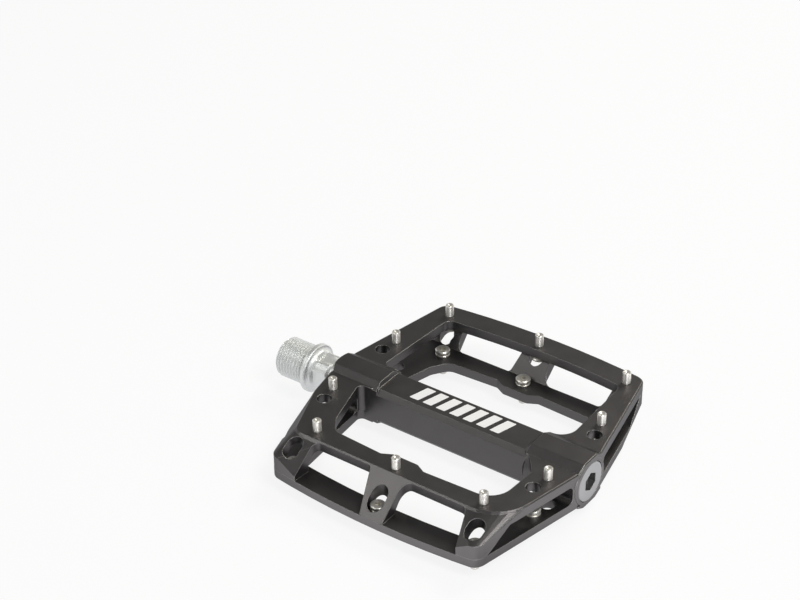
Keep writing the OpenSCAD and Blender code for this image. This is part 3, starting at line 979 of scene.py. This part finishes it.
@dataclass(frozen=True)
class Softbox:
    """A large square lamp that looks at the pedal."""

    name: str
    place_m: tuple[float, float, float]
    side_m: float
    watts: float
    colour: str

    def build(self, target: Vector) -> bpy.types.Object:
        """Hangs the lamp and turns it to the target.

        Args:
            target: the point that the lamp looks at, in metres.

        Returns:
            The lamp.
        """
        lamp = bpy.data.lights.new(self.name, "AREA")
        lamp.shape = "SQUARE"
        lamp.size = self.side_m
        lamp.energy = self.watts
        lamp.color = linear(self.colour)[:3]
        box = bpy.data.objects.new(self.name, lamp)
        box.location = self.place_m
        box.rotation_euler = (target - box.location).to_track_quat("-Z", "Y").to_euler()
        bpy.context.scene.collection.objects.link(box)
        return box


@dataclass
class Studio:
    """The pale floor, the white surroundings, the lamps and the camera.

    The camera sees plain white round the pedal. In a reflection the white sweep is full up to the first
    height of sweep_top and falls to room_strength at the second, where a height is the upward part of a
    ray's direction. All other rays meet the fill. To the camera and in a reflection, floor_glow of the
    floor's light is its own, in the floor_bounce colour in a reflection, and the rest is lit paper, which
    takes the pedal's shadow. A bright card lies on the floor in reflections alone: it is card_strength times
    as bright, has an edge of card_soft_m, and comes up over card_start_m along the spindle from the seat.
    """

    camera_m: tuple[float, float, float] = (0.386288, -0.475558, 0.429007)
    view_direction: tuple[float, float, float] = (-0.494968, 0.673585, -0.548899)
    roll_degrees: float = -0.785
    lens_mm: float = 97.28
    sensor_mm: float = 36.0
    nearest_m: float = 0.01
    floor_side_m: float = 6.0
    surround: str = "#ffffff"
    fill: str = "#e9edf2"
    fill_strength: float = 0.25
    sweep_top: tuple[float, float] = (0.15, 0.5)
    room_strength: float = 0.19
    floor_colour: str = "#f4f4f3"
    floor_roughness: float = 0.9
    floor_glow: float = 0.86
    floor_bounce: str = "#f8f8fd"
    card_strength: float = 1.9
    card_soft_m: float = 0.006
    card_start_m: float = 0.03
    lamps: list[Softbox] = field(
        default_factory=lambda: [
            Softbox("side_softbox", (0.85, -0.75, 0.13), 0.3, 3.0, "#f4f5ff"),
            Softbox("corner_softbox", (0.65, -0.12, 0.85), 0.35, 4.5, "#ffffff"),
            Softbox("front_softbox", (-0.45, -0.55, 0.8), 0.35, 1.6, "#ffffff"),
            Softbox("back_softbox", (0.15, 0.74, 0.8), 0.4, 4.5, "#fffaf2"),
        ]
    )

    def build_camera(self) -> None:
        """Places the camera, which looks down across the pedal's outboard near corner."""
        camera = bpy.data.objects.new("camera", bpy.data.cameras.new("camera"))
        camera.data.lens = self.lens_mm
        camera.data.sensor_width = self.sensor_mm
        camera.data.clip_start = self.nearest_m
        camera.location = self.camera_m
        facing = Vector(self.view_direction).to_track_quat("-Z", "Y")
        roll = Quaternion((0, 0, 1), math.radians(self.roll_degrees))
        camera.rotation_mode = "QUATERNION"
        camera.rotation_quaternion = facing @ roll
        bpy.context.scene.collection.objects.link(camera)
        bpy.context.scene.camera = camera

    @staticmethod
    def camera_rays(tree: bpy.types.NodeTree) -> bpy.types.NodeSocket:
        """Gives 1 for a ray that comes straight from the camera and 0 for any other."""
        return add_node(tree, "ShaderNodeLightPath").outputs["Is Camera Ray"]

    @staticmethod
    def background_rays(tree: bpy.types.NodeTree) -> bpy.types.NodeSocket:
        """Tells the rays that show the background, to the camera or in a reflection, from the rays of light.

        Args:
            tree: the node tree that asks.

        Returns:
            1 for a camera, glossy or transmission ray and 0 for any other.
        """
        path = add_node(tree, "ShaderNodeLightPath").outputs
        seen = path["Is Camera Ray"]
        for ray in ("Is Glossy Ray", "Is Transmission Ray"):
            seen = add_node(
                tree, "ShaderNodeMath", {"operation": "MAXIMUM"}, {0: seen, 1: path[ray]}
            ).outputs[0]
        return seen

    def build_world(self) -> None:
        """Makes the surroundings white to the camera and in reflections, and a softer fill to all else."""
        world = bpy.data.worlds.new("studio")
        bpy.context.scene.world = world
        world.use_nodes = True
        tree = world.node_tree
        tree.nodes.clear()
        seen = self.background_rays(tree)
        fill = add_node(
            tree, "ShaderNodeBackground", None, {"Color": linear(self.fill), "Strength": self.fill_strength}
        ).outputs[0]
        direction = add_node(tree, "ShaderNodeTexCoord").outputs["Generated"]
        height = add_node(tree, "ShaderNodeSeparateXYZ", None, {0: direction}).outputs["Z"]
        low, high = self.sweep_top
        swept = add_node(
            tree,
            "ShaderNodeMapRange",
            None,
            {"Value": height, "From Min": low, "From Max": high, "To Min": 1.0, "To Max": self.room_strength},
        ).outputs["Result"]
        strength = add_node(
            tree, "ShaderNodeMath", {"operation": "MAXIMUM"}, {0: swept, 1: self.camera_rays(tree)}
        ).outputs[0]
        white = add_node(
            tree, "ShaderNodeBackground", None, {"Color": linear(self.surround), "Strength": strength}
        ).outputs[0]
        mixed = add_node(tree, "ShaderNodeMixShader", None, {0: seen, 1: fill, 2: white}).outputs[0]
        add_node(tree, "ShaderNodeOutputWorld", None, {"Surface": mixed})

    def bounce_strength(self, tree: bpy.types.NodeTree) -> bpy.types.NodeSocket:
        """Brightens what reflections see of the floor along the pedal's -Y side and past its outboard end.

        Args:
            tree: the floor material's node tree.

        Returns:
            The emission's strength, which is 1 for the camera.
        """
        place = add_node(tree, "ShaderNodeTexCoord").outputs["Object"]
        axes = add_node(tree, "ShaderNodeSeparateXYZ", None, {0: place}).outputs
        low, high = CAD_BOX
        soft = self.card_soft_m
        edges = (("X", high.x, high.x + soft), ("Y", low.y, low.y - soft), ("X", 0.0, self.card_start_m))
        past_end, past_side, clear_of_crank = (
            add_node(
                tree, "ShaderNodeMapRange", None, {"Value": axes[axis], "From Min": start, "From Max": end}
            ).outputs["Result"]
            for axis, start, end in edges
        )
        beside = add_node(
            tree, "ShaderNodeMath", {"operation": "MULTIPLY"}, {0: past_side, 1: clear_of_crank}
        ).outputs[0]
        card = add_node(
            tree, "ShaderNodeMath", {"operation": "MAXIMUM"}, {0: past_end, 1: beside}
        ).outputs[0]
        reflected = add_node(
            tree, "ShaderNodeMapRange", None, {"Value": card, "To Min": 1.0, "To Max": self.card_strength}
        ).outputs["Result"]
        return add_node(
            tree, "ShaderNodeMix", None, {"Factor": self.camera_rays(tree), 2: reflected, 3: 1.0}
        ).outputs[0]

    def floor_material(self) -> bpy.types.Material:
        """Makes the floor's pale paper, which takes the pedal's shadow and shows white beyond it.

        Returns:
            The material.
        """
        material = bpy.data.materials.new("pale_paper_floor")
        material.use_nodes = True
        tree = material.node_tree
        tree.nodes.clear()
        paper = add_node(
            tree,
            "ShaderNodeBsdfPrincipled",
            None,
            {"Base Color": linear(self.floor_colour), "Roughness": self.floor_roughness},
        ).outputs["BSDF"]
        colour = add_node(
            tree,
            "ShaderNodeMix",
            {"data_type": "RGBA"},
            {"Factor": self.camera_rays(tree), 6: linear(self.floor_bounce), 7: linear(self.surround)},
        ).outputs[2]
        glow = add_node(
            tree, "ShaderNodeEmission", None, {"Color": colour, "Strength": self.bounce_strength(tree)}
        ).outputs[0]
        share = add_node(
            tree,
            "ShaderNodeMath",
            {"operation": "MULTIPLY"},
            {0: self.background_rays(tree), 1: self.floor_glow},
        ).outputs[0]
        mixed = add_node(tree, "ShaderNodeMixShader", None, {0: share, 1: paper, 2: glow}).outputs[0]
        add_node(tree, "ShaderNodeOutputMaterial", None, {"Surface": mixed})
        return material

    def build_floor(self, height: float) -> bpy.types.Object:
        """Lays the floor, a square.

        Args:
            height: how high the floor is, in metres.

        Returns:
            The floor.
        """
        half = self.floor_side_m / 2
        mesh = bpy.data.meshes.new("floor")
        corners = [(-half, -half, height), (half, -half, height), (half, half, height), (-half, half, height)]
        mesh.from_pydata(corners, [], [(0, 1, 2, 3)])
        mesh.materials.append(self.floor_material())
        floor = bpy.data.objects.new("floor", mesh)
        bpy.context.scene.collection.objects.link(floor)
        return floor

    def build(self) -> None:
        """Builds the whole studio round the pedal."""
        low, high = CAD_BOX
        self.build_camera()
        self.build_world()
        self.build_floor(low.z)
        for lamp in self.lamps:
            lamp.build((low + high) / 2)
        bpy.context.scene.view_settings.view_transform = "Standard"


# --------------------------------------------------------------------- main


def main() -> None:
    """Dresses the CAD nodes, builds the scene's own pieces and the studio, and reports each piece."""
    logging.basicConfig(level=logging.INFO, format="%(name)s: %(message)s")
    wardrobe = Wardrobe()
    wardrobe.dress_nodes()
    makers = [
        Spindle(wardrobe),
        TractionPins(wardrobe, "top_pins"),
        TractionPins(wardrobe, "bottom_pins"),
        HousingRidges(wardrobe),
        DeckBars(wardrobe),
    ]
    for maker in makers:
        piece = maker.build()
        LOG.info("built %s with %d faces", piece.name, len(piece.data.polygons))
    Studio().build()


if __name__ == "__main__":
    main()
